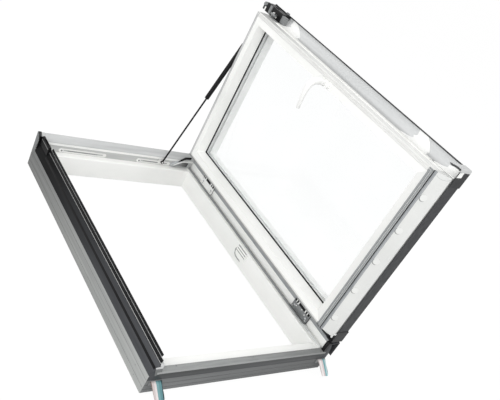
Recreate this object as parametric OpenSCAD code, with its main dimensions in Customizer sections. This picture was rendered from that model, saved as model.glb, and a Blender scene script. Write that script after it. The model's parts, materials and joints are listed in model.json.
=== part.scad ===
// Side-hung roof exit window: a mitred frame and a glazed sash that swings up on two hinges.
// Frame lies flat, back face on z = 0, outside up; the origin is on the middle of the sill's back face.
// The sash is drawn closed and then opened about the hinge line.

/* [Frame] */
// Outside width of the frame
frame_w = 780; // [660:10:940]
// Outside height of the frame, sill to head
frame_h = 1178; // [980:10:1400]
// Height of the white lining up to the ledge that the sash closes on
ledge_z = 85; // [70:1:100]
// Depth of the sill from its outer face to the lining
sill_d = 56; // [50:1:70]
// Depth of the head from its outer face to the lining
head_d = 56; // [54:1:70]
// Depth of the lock-side jamb from its outer face to the lining
jamb_left_d = 54; // [52:1:70]
// Depth of the hinge-side jamb from its outer face to the lining
jamb_right_d = 50; // [46:1:60]
// Thickness of the upstanding rebate wall behind the ledge
wall_t = 25; // [22:1:30]
// Height of the rebate walls above the back face
wall_z = 121; // [112:1:130]
// Thickness of the outer panels and folded covers
sheet_t = 2; // [1.5:0.1:2.5]
// Height of the light outer panels
panel_z = 78; // [60:1:84]
// Height of the two saw grooves in the outer panels
groove_z = [24, 57];
// Height of the two saw grooves in the sill's front panel
sill_groove_z = [14, 33];
// Depth of the saw grooves
groove_d = 1.2; // [0.6:0.1:1.4]

/* [Sash] */
// Gap from the hinge-side outer face to the edge of the sash
sash_gap_hinge = 40; // [36:1:46]
// Gap from the lock-side outer face to the edge of the sash
sash_gap_free = 46; // [42:1:50]
// Gap from the sill's and the head's outer faces to the edge of the sash
sash_gap_ends = 48; // [44:1:52]
// Gap under the closed sash, above the ledge
sash_lift = 2; // [1.5:0.5:4]
// Thickness of the white sash sections
sash_t = 76; // [70:1:84]
// Width of the low chamfer round the inside face of the sash
sash_chamfer = 16; // [10:1:24]
// Width of the inside face from the edge of the sash to the sloped reveal
sash_face = 42; // [38:1:56]
// Width from the edge of the sash to the sight line of the glass
sight_line = 52; // [48:1:68]
// Depth of the sloped reveal down to the glass
reveal_d = 40; // [30:1:42]
// Thickness of one pane
pane_t = 4; // [3:0.5:5]
// Width of the gas-filled gap between the panes
pane_gap = 16; // [10:1:18]

/* [Cladding] */
// Height of the outside cladding above the sash sections
clad_rise = 37; // [32:1:46]
// Overhang of the cladding past the sash on the lock side
clad_free = 39; // [30:1:41]
// Overhang of the cladding past the sash at the sill
clad_sill = 45; // [30:1:46]
// Overhang of the cladding past the sash at the head
clad_head = 44; // [28:1:46]
// Overhang of the cladding past the sash on the hinge side
clad_hinge = 24; // [22:1:26]
// Depth of the turned-down flange at the sill
clad_drop = 55; // [30:1:60]
// Depth of the turned-down flange on the other sides
clad_lip = 8; // [5:1:12]
// Thickness of the cladding sheet
clad_t = 1.5; // [1:0.1:2]

/* [Hinges] */
// How far the sash stands open
open_angle = 90; // [60:1:95]
// Distance of the hinge line from the hinge-side outer face
hinge_in = 20; // [18:0.5:22]
// Height of the hinge line above the back face
hinge_z = 155; // [153:0.5:158]
// Distance of each hinge's middle from the end of the frame
hinge_end = 190; // [150:1:260]
// Length of a hinge
hinge_len = 104; // [80:1:120]
// Outer radius of the hinge knuckles
knuckle_r = 7; // [6.5:0.1:7.4]
// Radius of the hinge pin
hinge_pin_r = 3.5; // [3:0.1:4.5]
// Thickness of the hinge leaves
leaf_t = 3; // [2:0.1:3.5]
// Radial running clearance of pins in their bores
run_gap = 0.05; // [0.02:0.01:0.1]

/* [Gas strut] */
// Height of the strut's foot above the back face
foot_z = 107; // [104:1:112]
// Distance of the strut's foot from the hinge-side outer face
foot_in = 198; // [180:1:240]
// Distance of the strut's stud on the sash from the hinge-side outer face
stud_in = 602; // [520:1:610]
// Height of the stud above the inside face of the sash
stud_up = 23; // [18:1:27]
// Radius of the strut's rod
rod_r = 3.8; // [2.5:0.1:4]
// Radius of the strut's barrel
barrel_r = 9.5; // [7:0.1:10]
// Length of rod showing when the strut is out
rod_out = 353; // [330:1:380]

/* [Handle and lock] */
// Distance of the handle's spindle from the sill end of the sash
handle_y = 570; // [400:1:700]
// Length of the lever from its spindle to its tip
lever_len = 116; // [90:1:140]
// Distance of the lever from the face of the sash
lever_out = 50; // [36:1:60]
// Travel of the lock bar
lock_throw = 18; // [10:1:24]

/* [Fixing brackets] */
// Width of a fixing bracket
bracket_w = 42; // [30:1:44]
// Reach of a bracket's foot in front of the sill
bracket_reach = 58; // [46:1:66]
// Distance of the left bracket's middle from the side of the frame
bracket_left_in = 36; // [30:1:80]
// Distance of the right bracket's middle from the side of the frame
bracket_right_in = 23; // [23:1:80]
// Radius of the screw holes in the brackets
bracket_hole_r = 2.6; // [2:0.1:3.5]
// Distance between the two holes in a bracket
bracket_pitch = 22; // [16:1:24]

/* [Hidden] */
$fn = 48;
left = -frame_w / 2;
right = frame_w / 2;
front = -sill_d / 2;
rear = front + frame_h;
bevel = 3;

// Height of the head's upstand, of the sill's front panel and of the sill's lip
head_rise = 29;
head_z = wall_z + head_rise;
drip_h = 31;
sill_panel_z = ledge_z - drip_h;
sill_lip_z = ledge_z + 5;
sill_lip_d = 23;
// Folds of the jamb cover, measured in from the outer face and up from the back
knee = [9, wall_z - 13];
crest = [19, wall_z + 6];
cover_in = 22;
seal_z = wall_z + 13;
jamb_end_y = rear - wall_t;
cover_end_y = jamb_end_y - sheet_t - 0.3;
block_d = 16;
gasket_in = wall_t + leaf_t + 1;

// Closed sash
sash_z = ledge_z + sash_lift;
sash_top = sash_z + sash_t;
sash_rect = [left + sash_gap_free, front + sash_gap_ends, right - sash_gap_hinge, rear - sash_gap_ends];
sash_w = sash_rect[2] - sash_rect[0];
sash_h = sash_rect[3] - sash_rect[1];
pane_in = sight_line - 14;
bead_t = 2;
pane_z = sash_z + reveal_d + bead_t;
outer_pane_z = pane_z + pane_t + pane_gap;
glass_top = outer_pane_z + pane_t;
clad_z = sash_top + clad_rise;
seal_rise = 2.5;
board_low = sash_z + 13;

// Hinge line
hinge_x = right - hinge_in;
hinge_low_y = front + hinge_end;
hinge_high_y = rear - hinge_end;
leaf_x = right - wall_t - leaf_t;
leaf_low = ledge_z + 1.5;
middle_knuckle = hinge_len * 0.44;
knuckle_gap = 0.5;

// Gas strut, from its foot on the head to its stud on the opened sash
track_t = 2;
track_z = ledge_z + 11;
strut_y = (sash_rect[3] + jamb_end_y - track_t) / 2;
foot = [right - foot_in, foot_z];
stud = [right - stud_in, sash_z + stud_up];
stud_open = swing(stud);
strut_len = norm(stud_open - foot);
strut_tilt = atan2(stud_open[1] - foot[1], stud_open[0] - foot[0]);
rod_in = 20;
eye_r = 7;
eye_pin_r = 4;
end_gap = 0.3;

// Handle and lock
handle_at = [sash_rect[0] + (sash_chamfer + sash_face) / 2, sash_rect[1] + handle_y];
base_t = 9;
lever_bend_r = 320;
lever_w = 19;
lever_t = 9;
bar_t = 2.5;
bar_up = 44;
bar_z = sash_z + bar_up;
bar_in = 60;
bar_w = 14;
lock_len = 114;

// Fixing brackets
bracket_t = 3;
bracket_low_z = 12;
bracket_top_z = sill_panel_z - 1;
bracket_nose = 15;

// A point [x, z] of the closed sash, carried round the hinge line to where it stands open
function swing(p) = [
  hinge_x + (p[0] - hinge_x) * cos(open_angle) + (p[1] - hinge_z) * sin(open_angle),
  hinge_z - (p[0] - hinge_x) * sin(open_angle) + (p[1] - hinge_z) * cos(open_angle)];

// Swings the closed sash open about the hinge line
module opened() {
  translate([hinge_x, 0, hinge_z]) rotate([0, open_angle, 0]) translate([-hinge_x, 0, -hinge_z]) children();
}

// Extrudes a section drawn in (y, z) along x, and one drawn in (x, z) along y
module along_x(x0, x1) {
  translate([x0, 0, 0]) rotate([90, 0, 90]) linear_extrude(x1 - x0) children();
}
module along_y(y0, y1) {
  translate([0, y1, 0]) rotate([90, 0, 0]) linear_extrude(y1 - y0) children();
}

// Sets a section drawn as (distance in from the outer face, height) on one side of a rectangle
module on_side(rect, side) {
  at = side == "sill" ? [rect[0], rect[1], 0]
    : side == "head" ? [rect[2], rect[3], 0]
    : side == "left" ? [rect[0], rect[3], 0] : [rect[2], rect[1], 0];
  turn = side == "sill" ? 0 : side == "head" ? 180 : side == "left" ? -90 : 90;
  translate(at) rotate(turn) children();
}
function side_len(rect, side) =
  side == "left" || side == "right" ? rect[3] - rect[1] : rect[2] - rect[0];

// One side of a rectangular surround with mitred ends; the section may reach out past the rectangle
module mitred(rect, side, reach_out, reach_in, high) {
  len = side_len(rect, side);
  on_side(rect, side) intersection() {
    along_x(-reach_out, len + reach_out) children();
    linear_extrude(high) polygon([[-reach_out, -reach_out], [len + reach_out, -reach_out],
      [len - reach_in, reach_in], [reach_in, reach_in]]);
  }
}
module mitred_loop(rect, reach_in, high) {
  for (side = ["sill", "head", "left", "right"]) mitred(rect, side, 0, reach_in, high) children();
}

// A bar with round ends lying in the plane, its ends' centres on the x axis
module stadium(len, r) {
  square([len, 2 * r], center = true);
  for (s = [-1, 1]) translate([s * len / 2, 0]) circle(r);
}

// White core of a jamb: lining, ledge and the rebate wall with its sloped top
module jamb_section(depth) {
  polygon([[sheet_t, 0], [depth, 0], [depth, ledge_z - bevel], [depth - bevel, ledge_z], [wall_t, ledge_z],
    [wall_t, wall_z], [cover_in - sheet_t, wall_z], [knee[0] + sheet_t, knee[1] - 1], [sheet_t, panel_z]]);
}
module jamb_left() {
  color("white") translate([left, 0, 0]) along_y(front + sheet_t, jamb_end_y) jamb_section(jamb_left_d);
}
module jamb_right() {
  color("white") translate([right, 0, 0]) mirror([1, 0, 0])
    along_y(front + sheet_t, jamb_end_y) jamb_section(jamb_right_d);
}

// White sill between the jambs
module sill() {
  color("white") translate([0, front, 0]) along_x(left + jamb_left_d, right - jamb_right_d)
    polygon([[sheet_t, 0], [sill_d, 0], [sill_d, ledge_z - bevel], [sill_d - bevel, ledge_z],
      [sheet_t, ledge_z]]);
}

// White head: the lining runs between the jambs, the upstand runs right across
module head() {
  color("white") translate([0, rear, 0]) mirror([0, 1, 0]) {
    along_x(left + jamb_left_d, right - jamb_right_d)
      polygon([[sheet_t, 0], [head_d, 0], [head_d, ledge_z - bevel], [head_d - bevel, ledge_z],
        [sheet_t, ledge_z]]);
    along_x(left + sheet_t, right - sheet_t)
      polygon([[sheet_t, 0], [wall_t, 0], [wall_t, wall_z + 5], [sheet_t, head_z - bevel]]);
  }
}

// Outer panel with two saw grooves
module panel_section(high, grooves) {
  difference() {
    square([sheet_t, high]);
    for (z = grooves) polygon([[-1, z - groove_d - 1], [groove_d, z], [-1, z + groove_d + 1]]);
  }
}
module side_panel() {
  color("silver") translate([left, 0, 0]) along_y(front, rear) panel_section(panel_z, groove_z);
}
module front_panel() {
  color("silver") translate([0, front, 0]) along_x(left + sheet_t, right - sheet_t)
    panel_section(sill_panel_z, sill_groove_z);
}

// Sill lip that the water runs over, and the dark drip strip set back under it
module lip() {
  color("darkgray") translate([0, front, 0]) along_x(left + wall_t, right - wall_t)
    polygon([[0, ledge_z], [sill_lip_d, ledge_z], [sill_lip_d, sill_lip_z - sheet_t],
      [sill_lip_d - sheet_t, sill_lip_z], [0, sill_lip_z], [-sheet_t, sill_lip_z - sheet_t],
      [-sheet_t, ledge_z - sheet_t], [0, ledge_z - sheet_t]]);
}
module drip() {
  color("dimgray") translate([0, front, 0]) along_x(left + wall_t, right - wall_t)
    translate([0.5, sill_panel_z]) square([sheet_t - 0.5, ledge_z - sill_panel_z]);
}

// Dark folded cover over a jamb: two slopes with a hook down on to the rebate wall, closed at the sill
module cover_section() {
  polygon([[0, panel_z], knee, crest, [cover_in, crest[1]], [cover_in, wall_z], [cover_in - sheet_t, wall_z],
    [cover_in - sheet_t, crest[1] - sheet_t - 0.4], [knee[0] + sheet_t, knee[1] - 1], [sheet_t, panel_z]]);
}
module jamb_cover() {
  color("#333436") translate([left, 0, 0]) {
    along_y(front + sheet_t, cover_end_y) cover_section();
    along_y(front, front + sheet_t)
      polygon([[sheet_t, sill_panel_z], [sheet_t, panel_z], [0, panel_z], knee, crest,
        [cover_in, crest[1]], [cover_in, wall_z], [wall_t, wall_z], [wall_t, sill_panel_z]]);
  }
}

// Ribbed rubber seal standing on a rebate wall
module jamb_seal() {
  color("gray") translate([left, 0, 0]) along_y(front + block_d, cover_end_y)
    polygon([[cover_in, wall_z], [wall_t, wall_z], [wall_t, seal_z - 1.5], [wall_t - 1.5, seal_z],
      [cover_in, seal_z - 1.5], [cover_in + 1, seal_z - 4], [cover_in, wall_z + 6]]);
}

// Folded head cover: up the back face, over the top and down a slope to a drip edge
module upper_cover() {
  color("lightgray") translate([0, rear, 0]) mirror([0, 1, 0]) along_x(left + sheet_t, right - sheet_t)
    polygon([[0, 0], [0, head_z], [1, head_z + 1], [wall_t + sheet_t, wall_z + 8],
      [wall_t + sheet_t, wall_z + 5], [wall_t, wall_z + 5], [sheet_t, head_z - bevel], [sheet_t, 0]]);
}
module bead() {
  color("white") translate([0, rear, 0]) mirror([0, 1, 0]) along_x(left + wall_t, right - wall_t)
    polygon([[wall_t, wall_z], [wall_t + 1.5, wall_z], [wall_t + 3, wall_z + 2.5],
      [wall_t + 1.5, wall_z + 5], [wall_t, wall_z + 5]]);
}

// Soft lip gasket lying along the ledge of each jamb, just outside the closed sash
module lip_gasket() {
  color("slategray") translate([left, 0, 0]) along_y(front + sill_lip_d + 1, jamb_end_y - 1)
    polygon([[gasket_in, ledge_z], [gasket_in + 8, ledge_z], [gasket_in + 7, ledge_z + 7],
      [gasket_in + 4, ledge_z + 9], [gasket_in + 1, ledge_z + 6]]);
}

// Corner cap: closes the end of the head and straps over its slope
cap_len = 14;
cap_t = 3;
function slope_z(v) = head_z + 1 - (v - 1) * (head_z - wall_z - 7) / (wall_t + sheet_t - 1);
module corner_cap() {
  color("gainsboro") translate([0, rear, 0]) mirror([0, 1, 0]) {
    along_x(left, left + sheet_t)
      polygon([[0, panel_z], [wall_t, panel_z], [wall_t, slope_z(wall_t)], [1, head_z + 1], [0, head_z]]);
    along_x(left, left + cap_len)
      polygon([[0, head_z], [1, head_z + 1], [wall_t + sheet_t, wall_z + 8],
        [wall_t + sheet_t, wall_z + 8 + cap_t], [2, head_z + 1 + cap_t], [0, head_z + cap_t]]);
  }
}

// Small block in the corner over the sill's lip, against the rebate wall
block_w = 12;
module corner_block(tint, high) {
  color(tint) translate([left, 0, 0]) along_y(front, front + block_d)
    polygon([[wall_t, sill_lip_z], [wall_t + block_w, sill_lip_z], [wall_t + block_w, high - 8],
      [wall_t + block_w - 4, high], [cover_in, high], [cover_in, wall_z], [wall_t, wall_z]]);
}

// Rain cover on the hinge side: lies on the jamb cover, reaches out and turns down
cover_reach = 22;
cover_foot_z = 64;
module rain_cover() {
  color("#333436") translate([right, 0, 0]) mirror([1, 0, 0]) along_y(front, jamb_end_y - bevel)
    polygon([crest, [cover_in, crest[1]], [cover_in, crest[1] + sheet_t],
      [sheet_t - cover_reach, crest[1] + 7], [-cover_reach, crest[1] + 5], [-cover_reach, cover_foot_z],
      [sheet_t - cover_reach, cover_foot_z], [sheet_t - cover_reach, crest[1] + 4.5]]);
}

// Keeper rail on the lock-side jamb, with a slot that the lock's tongue drops into
keeper_len = 82;
keeper_z = crest[1] + 23;
keeper_end = 20;
keeper_wall = 2.5;
module keeper_rail() {
  share = 0.25;
  foot_at = knee + share * (crest - knee);
  keeper_y = cover_end_y - keeper_len;
  inner = cover_in - end_gap;
  color("#1c1c1e") translate([left, 0, 0]) difference() {
    along_y(keeper_y, keeper_y + keeper_len)
      polygon([foot_at, crest, [inner, crest[1]], [inner, keeper_z], [foot_at[0] + bevel, keeper_z],
        [foot_at[0], keeper_z - bevel]]);
    translate([foot_at[0] + keeper_wall, keeper_y + keeper_end, crest[1] + keeper_wall])
      cube([inner - foot_at[0] - 2 * keeper_wall, keeper_len - 2 * keeper_end, keeper_z]);
  }
}

// Zinc-plated angle bracket that fixes the sill to the roof: a leg on the sill and a plate with a cut nose
bracket_hole_y = front - 15 - bracket_pitch / 2;
module bracket(x) {
  half = bracket_w / 2;
  color("lightsteelblue") {
    translate([x - half, front - bracket_t, bracket_low_z])
      cube([bracket_w, bracket_t, bracket_top_z - bracket_low_z]);
    translate([x, 0, bracket_top_z - bracket_t]) linear_extrude(bracket_t) difference() {
      translate([0, front])
        polygon([[-half, 0], [-half, -bracket_reach], [half - bracket_nose, -bracket_reach],
          [half, bracket_nose - bracket_reach], [half, 0]]);
      for (s = [-1, 1]) translate([0, bracket_hole_y + s * bracket_pitch / 2]) circle(bracket_hole_r);
    }
  }
}

// A stretch of knuckle or pin along the hinge line
module hinge_rod(y, len, r) {
  translate([hinge_x, y + len / 2, hinge_z]) rotate([90, 0, 0]) cylinder(h = len, r = r);
}
leaf_top = hinge_z - knuckle_r - 1;
screw_r = 2;
screw_head_r = 4.2;
screw_z = [leaf_low + 8, leaf_low + 21];
screw_y = [-0.36, 0.36] * hinge_len;

// Frame leaf: plate on the rebate wall with two outer knuckles
module frame_leaf(y) {
  outer = (hinge_len - middle_knuckle) / 2;
  color("silver") difference() {
    union() {
      translate([leaf_x, y - hinge_len / 2, leaf_low]) cube([leaf_t, hinge_len, leaf_top - leaf_low]);
      for (s = [-1, 1]) {
        ky = y + s * (hinge_len - outer) / 2;
        hinge_rod(ky, outer, knuckle_r);
        translate([leaf_x, ky - outer / 2, leaf_top - 1]) cube([leaf_t, outer, hinge_z - leaf_top + 1]);
      }
    }
    hinge_rod(y, hinge_len + 2, hinge_pin_r + run_gap);
    for (dy = screw_y, z = screw_z)
      translate([leaf_x - 1, y + dy, z]) rotate([0, 90, 0]) cylinder(h = leaf_t + 2, r = screw_r + run_gap);
  }
}

// Sash leaf, drawn closed: plate on the edge of the sash, cranked out to the middle knuckle
module sash_leaf(y) {
  width = middle_knuckle - 2 * knuckle_gap;
  plate_low = sash_z + 10;
  color("silver") opened() difference() {
    union() {
      translate([sash_rect[2], y - hinge_len / 2, plate_low])
        cube([leaf_t, hinge_len, hinge_z - 5 - plate_low]);
      translate([sash_rect[2], y - width / 2, hinge_z - 6]) cube([leaf_t, width, 6 + leaf_t / 2]);
      translate([sash_rect[2], y - width / 2, hinge_z - leaf_t / 2])
        cube([hinge_x - sash_rect[2], width, leaf_t]);
      hinge_rod(y, width, knuckle_r);
    }
    hinge_rod(y, hinge_len, hinge_pin_r + run_gap);
  }
}

module pins() {
  color("gray") for (y = [hinge_low_y, hinge_high_y]) {
    hinge_rod(y, hinge_len + 2, hinge_pin_r);
    hinge_rod(y + hinge_len / 2 + 2, 3, hinge_pin_r + 1.5);
  }
}
module leaf_screws() {
  color("gainsboro") for (y = [hinge_low_y, hinge_high_y], dy = screw_y, z = screw_z)
    translate([leaf_x, y + dy, z]) rotate([0, 90, 0]) {
      cylinder(h = leaf_t, r = screw_r);
      translate([0, 0, -1.2]) difference() {
        cylinder(h = 1.2, r = screw_head_r);
        translate([0, 0, -0.4]) cylinder(h = 1, r = 1.8, $fn = 6);
      }
    }
}

// Black bushes clipped along the top of each frame leaf: short pairs either side of a long one
bush = [8, 4, 8, 6, 40, 6, 8, 4, 8];
bush_h = 20;
bush_t = 3;
function bush_at(i) = i == 0 ? 0 : bush_at(i - 1) + bush[i - 1];
module bushes() {
  bush_z = leaf_low + 28;
  half = bush_at(len(bush)) / 2;
  color("#1c1c1e") for (y = [hinge_low_y, hinge_high_y], i = [0:2:len(bush) - 1])
    translate([leaf_x - bush_t, y - half + bush_at(i), bush_z]) cube([bush_t, bush[i], bush_h]);
}

// Slotted guide plate on the head's rebate wall
track_h = 9;
track_left_x = 201;
track_left_len = 214;
track_right_x = 235;
track_right_len = 176;
module track(x, len) {
  color("lightgray") translate([x, jamb_end_y, track_z]) rotate([90, 0, 0]) linear_extrude(track_t)
    difference() {
      stadium(len - 2 * track_h, track_h);
      stadium(len - 4 * track_h, track_h / 2.6);
    }
}

// Foot of the gas strut: a plate across the guide with the pin that the rod's eye turns on
module foot_plate() {
  color("#1c1c1e") translate([foot[0], jamb_end_y - track_t, foot[1]]) rotate([90, 0, 0]) {
    linear_extrude(2) translate([0, -4]) square([30, 22], center = true);
    cylinder(h = jamb_end_y - track_t - strut_y + 4, r = eye_pin_r);
  }
}

// Stop bracket in the hinge-side corner of the head: a ramped arm with a hollow under it
stop_len = 92;
module stop_arm() {
  x1 = right - sash_gap_hinge - 14;
  color("lightgray") translate([x1, jamb_end_y, ledge_z]) rotate([90, 0, 0]) linear_extrude(12)
    difference() {
      polygon([[-stop_len, 10], [-stop_len, 14], [-stop_len + 30, 35], [0, 35], [0, 10]]);
      polygon([[-stop_len + 20, 13], [-stop_len + 39, 31], [-5, 31], [-5, 13]]);
    }
}

// Ribbed finger catch on the hinge-side lining, round at its lower edge
catch_w = 74;
catch_h = 48;
catch_t = 5;
module finger_grip() {
  low = ledge_z - 8 - catch_h;
  round_r = 12;
  color("white") translate([right - jamb_right_d, front + frame_h * 0.49, low]) rotate([0, -90, 0]) {
    linear_extrude(catch_t) {
      translate([round_r, -catch_w / 2]) square([catch_h - round_r, catch_w]);
      translate([0, round_r - catch_w / 2]) square([round_r, catch_w - 2 * round_r]);
      for (s = [-1, 1]) translate([round_r, s * (catch_w / 2 - round_r)]) circle(round_r);
    }
    for (i = [0:4]) translate([12 + i * 7, 4 - catch_w / 2, catch_t]) cube([3, catch_w - 8, 1.6]);
  }
}

// White sash section: chamfered inside face, sloped reveal and glazing pocket
chamfer_h = sash_chamfer * 0.2;
module sash_section() {
  polygon([[0, sash_z + chamfer_h], [sash_chamfer, sash_z], [sash_face, sash_z],
    [sight_line, sash_z + reveal_d], [sight_line, pane_z], [pane_in - 1, pane_z],
    [pane_in - 1, sash_top - 10], [pane_in - 6, sash_top], [0, sash_top]]);
}
module sash_member(side) {
  color("white") opened() mitred(sash_rect, side, 0, sight_line, clad_z) sash_section();
}

// Double glazing: two panes held apart by a spacer bar, on a black bead at the sight line
module pane(z) {
  color([0.8, 0.9, 0.92, 0.35]) opened()
    translate([sash_rect[0] + pane_in, sash_rect[1] + pane_in, z])
      cube([sash_w - 2 * pane_in, sash_h - 2 * pane_in, pane_t]);
}
spacer_in = pane_in + 3;
spacer_end = spacer_in + 8;
module spacer() {
  color("silver") opened() translate([sash_rect[0], sash_rect[1], pane_z + pane_t]) linear_extrude(pane_gap)
    difference() {
      translate([spacer_in, spacer_in]) square([sash_w - 2 * spacer_in, sash_h - 2 * spacer_in]);
      translate([spacer_end, spacer_end]) square([sash_w - 2 * spacer_end, sash_h - 2 * spacer_end]);
    }
}
bead_h = 4;
module glazing_bead() {
  color("#151515") opened() mitred_loop(sash_rect, sight_line + 10, clad_z)
    polygon([[sight_line, pane_z], [sight_line + bead_t, pane_z], [sight_line + bead_t / 2, pane_z - bead_h],
      [sight_line, pane_z - bead_h]]);
}

// White board closing the sash at the sill: it slopes out to the edge of the turned-down flange
board_in = 10;
board_gap = 4;
board_out = clad_sill - board_gap - clad_t;
module sill_board() {
  color("white") opened() translate([0, sash_rect[1], 0]) along_x(sash_rect[0], sash_rect[2])
    polygon([[0, board_low], [-board_in, board_low], [-board_out, clad_z - clad_drop - board_gap],
      [-board_out, sash_top], [0, sash_top]]);
}

// Two rubber ribs lying on the chamfer; share runs from the edge of the sash to its inside face
function on_chamfer(share, rise) = let (slope = norm([sash_chamfer, chamfer_h]))
  [share * sash_chamfer - rise * chamfer_h / slope,
    sash_z + (1 - share) * chamfer_h - rise * sash_chamfer / slope];
module edge_seals() {
  taper = 0.06;
  color("darkgray") opened() for (span = [[0.04, 0.42], [0.5, 0.96]])
    mitred_loop(sash_rect, sight_line, clad_z)
      polygon([on_chamfer(span[0], 0), on_chamfer(span[1], 0), on_chamfer(span[1] - taper, seal_rise),
        on_chamfer(span[0] + taper, seal_rise)]);
}

// Folded outside cladding: up from the glass, across the top, and turned down past the edge of the sash
module clad_section(over, drop) {
  inner = sight_line + 2;
  fold = 3;
  polygon([[inner, glass_top + end_gap], [inner - 10, clad_z - fold], [inner - 10 - fold, clad_z],
    [fold - over, clad_z], [-over, clad_z - fold], [-over, clad_z - drop], [clad_t - over, clad_z - drop],
    [clad_t - over, clad_z - fold], [fold - over, clad_z - clad_t], [inner - 10 - fold, clad_z - clad_t],
    [inner - 10 - clad_t, clad_z - fold], [inner - clad_t, glass_top + end_gap]]);
}
module cladding(side, over, drop) {
  color("#333436") opened() intersection() {
    mitred(sash_rect, side, over, sight_line + 2, clad_z) clad_section(over, drop);
    translate([sash_rect[0] - clad_free, sash_rect[1] - clad_sill, 0])
      cube([sash_w + clad_free + clad_hinge, sash_h + clad_sill + clad_head, clad_z]);
  }
}

// Dark cap round the end of the sill-side flange, drawn from the flange's outer corner
cap_free_len = 65;
cap_hinge_len = 52;
cap_hinge_over = 12;
module end_cap(x, way, len) {
  color("#232325") opened() translate([x, sash_rect[1] - clad_sill, clad_z - clad_drop - 1])
    mirror([way < 0 ? 1 : 0, 0, 0]) linear_extrude(clad_drop + 2)
      polygon([[-sheet_t, 1], [1, -sheet_t], [len, -sheet_t], [len, 0], [0, 0], [0, 30], [-sheet_t, 30]]);
}

// White clips that carry the cladding: along the lock edge, and posts on the other three sides
clip_w = 16;
clip_near = 40;
clip_pitch = 155;
clip_far = 90;
clip_free_y = [clip_near, clip_near + clip_pitch, sash_h - clip_far];
module clip_post(x, y) {
  translate([x - 7, y - clip_w / 2, sash_top]) cube([14, clip_w, clad_z - clad_t - sash_top]);
}
module clips() {
  post_in = 15;
  color("whitesmoke") opened() {
    for (dy = clip_free_y)
      translate([sash_rect[0], sash_rect[1] + dy - clip_w / 2, 0]) rotate([90, 0, 0]) mirror([0, 0, 1])
        linear_extrude(clip_w) polygon([[0, sash_top - 12], [-14, sash_top - 4], [-14, clad_z - clad_t],
          [8, clad_z - clad_t], [8, sash_top], [0, sash_top]]);
    for (t = [0.2, 0.5, 0.8]) {
      clip_post(sash_rect[2] - post_in, sash_rect[1] + t * sash_h);
      clip_post(sash_rect[0] + t * sash_w, sash_rect[1] + post_in);
      clip_post(sash_rect[0] + t * sash_w, sash_rect[3] - post_in);
    }
  }
}

// Round plugs over the screws in the sill board
plug_first = 93;
plug_last = 67;
plug_count = 5;
plug_r = 7;
plug_up = 12;
module plugs() {
  run = [board_out - board_in, clad_z - clad_drop - board_gap - board_low];
  up = plug_up * run / norm(run);
  plug_pitch = (sash_w - plug_first - plug_last) / (plug_count - 1);
  color("white") opened() for (i = [0:plug_count - 1])
    translate([sash_rect[0] + plug_first + i * plug_pitch, sash_rect[1], 0])
      translate([0, -board_in - up[0], board_low + up[1]]) rotate([180 - atan2(run[1], run[0]), 0, 0])
      difference() {
        cylinder(h = 1.6, r = plug_r);
        translate([0, 0, 0.9]) cylinder(h = 1, r = plug_r - 2);
      }
}

// Lock case under the cladding at the head end of the lock edge
module lock_box() {
  low = sash_top - 11;
  high = clad_z - clad_t - 4;
  reach = clad_free - 3;
  lock_end = sash_rect[3] + clad_head - 2;
  color("#1c1c1e") opened() difference() {
    translate([sash_rect[0], 0, 0]) along_y(lock_end - lock_len, lock_end)
      polygon([[-reach, low + 4], [4 - reach, low], [0, low], [0, high], [6 - reach, high],
        [-reach, high - 6]]);
    translate([sash_rect[0] - reach - 1, sash_rect[3] - 20, low + 12]) cube([8, 30, 14]);
  }
}

// Lock bar along the edge of the sash, with a bolt on its turned-out end
module bar() {
  y0 = sash_rect[1] + bar_in;
  y1 = sash_rect[3] - 14 - lock_throw;
  bolt_out = 14;
  color("silver") opened() {
    translate([sash_rect[0] - bar_t, y0, bar_z]) cube([bar_t, y1 - y0, bar_w]);
    translate([sash_rect[0] - bolt_out, y1 - bar_t, bar_z]) cube([bolt_out, bar_t, bar_w]);
    translate([sash_rect[0] - bolt_out, y1 + 10, bar_z + bar_w / 2]) rotate([90, 0, 0])
      cylinder(h = 26, r = 5);
  }
}

// Stud for the strut on the head edge of the sash; it stops just short of the strut's eye
module sash_stud() {
  reach = strut_y - sash_rect[3] - eye_half - end_gap;
  color("silver") opened() translate([stud[0], sash_rect[3], stud[1]]) rotate([-90, 0, 0]) {
    cylinder(h = 1.5, r = 9);
    cylinder(h = reach, r = eye_pin_r);
  }
}

// Gas strut, laid along its own axis from the foot: rod with its eye, and barrel with its eye
eye_half = 4;
module along_strut() {
  translate([foot[0], strut_y, foot[1]]) rotate([0, 90 - strut_tilt, 0]) children();
}
module eye(bore) {
  rotate([90, 0, 0]) difference() {
    cylinder(h = 2 * eye_half, r = eye_r, center = true);
    cylinder(h = 2 * eye_half + 2, r = bore, center = true);
  }
}
module rod() {
  color("#202022") along_strut() {
    eye(eye_pin_r + run_gap);
    translate([0, 0, eye_pin_r + 1.5]) cylinder(h = rod_out + rod_in - eye_pin_r - 1.5, r = rod_r);
  }
}
module barrel() {
  neck = 16;
  color("#202022") along_strut() difference() {
    union() {
      translate([0, 0, rod_out]) cylinder(h = strut_len - neck - rod_out, r = barrel_r);
      translate([0, 0, strut_len - neck]) cylinder(h = neck - eye_pin_r - 1, r = rod_r + 1);
      translate([0, 0, strut_len]) eye(eye_pin_r);
    }
    translate([0, 0, rod_out - 1]) cylinder(h = strut_len - neck - rod_out - 4, r = rod_r + run_gap);
  }
}

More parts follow.
